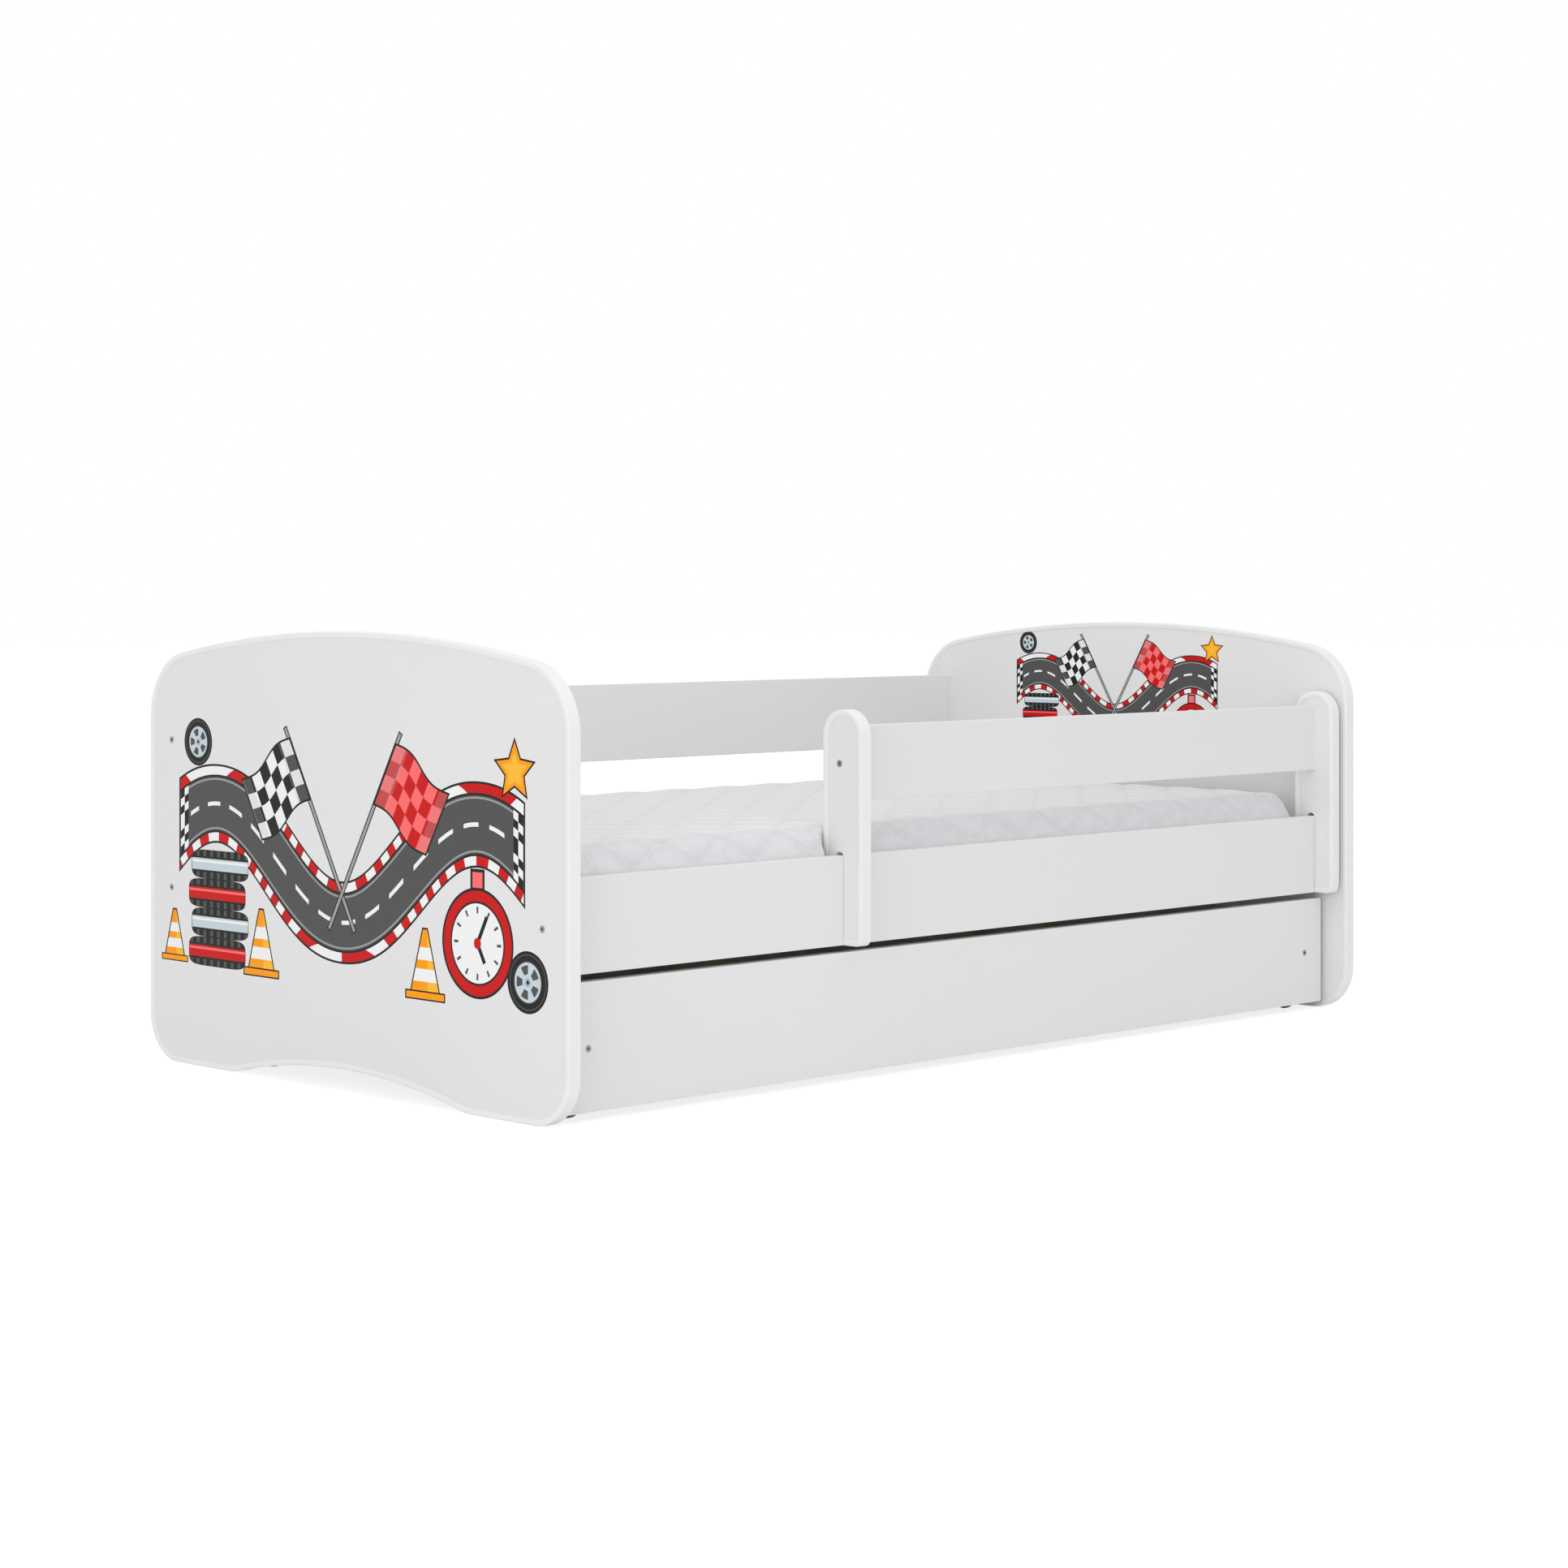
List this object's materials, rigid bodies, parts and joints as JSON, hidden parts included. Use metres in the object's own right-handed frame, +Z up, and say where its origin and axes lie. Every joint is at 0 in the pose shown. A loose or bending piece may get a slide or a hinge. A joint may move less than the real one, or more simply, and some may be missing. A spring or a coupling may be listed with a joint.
{
  "type": "kids bed",
  "caption": "Low child's bed with arched end boards, slatted base, quilted mattress, lift-off side guard and a full-length drawer on castors.",
  "frame": {"origin": "middle of the floor plan, on the floor", "axes": "+X along the length to the headboard, -Y to the front with the guard and the drawer, +Z up"},
  "size_m": [1.688, 0.924, 0.624],
  "materials": {
    "white_board": "white laminate, satin",
    "white_edging": "smooth satin",
    "pine": "planed",
    "zinc": "bright zinc",
    "nickel": "dull nickel",
    "tape": "woven",
    "quilted_cloth": "brushed, quilted",
    "foam": "open cell",
    "hardboard": "white upper face",
    "wheel_plastic": "moulded"
  },
  "bodies": {
    "frame": {"footboard": "white_board", "footboard_edging": "white_edging", "headboard": "white_board", "headboard_edging": "white_edging", "front_rail": "white_board", "rear_lower_rail": "white_board", "rear_upper_rail": "white_board", "front_slat_batten": "pine", "rear_slat_batten": "pine", "batten_screws": "zinc", "slats": "pine", "slat_tapes": "tape", "slat_screws": "zinc", "rail_screws": "nickel", "rail_dowels": "pine"},
    "mattress": {"mattress_cover": "quilted_cloth", "mattress_core": "foam"},
    "guard": {"guard_board": "white_board", "guard_left_post": "white_board", "guard_left_edging": "white_edging", "guard_right_post": "white_board", "guard_right_edging": "white_edging", "guard_screws": "nickel", "guard_dowels": "pine"},
    "drawer": {"drawer_front": "white_board", "drawer_left_side": "white_board", "drawer_right_side": "white_board", "drawer_back": "white_board", "drawer_divider": "white_board", "drawer_left_bottom": "hardboard", "drawer_right_bottom": "hardboard", "drawer_front_screws": "nickel", "drawer_back_screws": "nickel", "drawer_dowels": "pine", "castor_brackets": "zinc", "castor_screws": "zinc", "castor_axles": "zinc"},
    "front_left_wheel": {"front_left_wheel": "wheel_plastic"},
    "front_right_wheel": {"front_right_wheel": "wheel_plastic"},
    "rear_left_wheel": {"rear_left_wheel": "wheel_plastic"},
    "rear_right_wheel": {"rear_right_wheel": "wheel_plastic"}
  },
  "joints": [
    {"name": "mattress_lift", "type": "slide", "parent": "frame", "child": "mattress", "axis": [0, 0, 1], "range_m": [0, 0.35]},
    {"name": "guard_lift", "type": "slide", "parent": "frame", "child": "guard", "axis": [0, 0, 1], "range_m": [0, 0.15]},
    {"name": "drawer_slide", "type": "slide", "parent": "frame", "child": "drawer", "axis": [0, -1, 0], "range_m": [0, 0.7]},
    {"name": "front_left_wheel_spin", "type": "hinge", "parent": "drawer", "child": "front_left_wheel", "pos_m": [-0.772, -0.377, 0.0163], "axis": [1, 0, 0], "continuous": true},
    {"name": "front_right_wheel_spin", "type": "hinge", "parent": "drawer", "child": "front_right_wheel", "pos_m": [0.772, -0.377, 0.0163], "axis": [1, 0, 0], "continuous": true},
    {"name": "rear_left_wheel_spin", "type": "hinge", "parent": "drawer", "child": "rear_left_wheel", "pos_m": [-0.772, 0.259, 0.0163], "axis": [1, 0, 0], "continuous": true},
    {"name": "rear_right_wheel_spin", "type": "hinge", "parent": "drawer", "child": "rear_right_wheel", "pos_m": [0.772, 0.259, 0.0163], "axis": [1, 0, 0], "continuous": true}
  ],
  "couplings": [
    {"joint": "front_left_wheel_spin", "follows": "drawer_slide", "rad_per_m": 62.5},
    {"joint": "front_right_wheel_spin", "follows": "drawer_slide", "rad_per_m": 62.5},
    {"joint": "rear_left_wheel_spin", "follows": "drawer_slide", "rad_per_m": 62.5},
    {"joint": "rear_right_wheel_spin", "follows": "drawer_slide", "rad_per_m": 62.5}
  ]
}
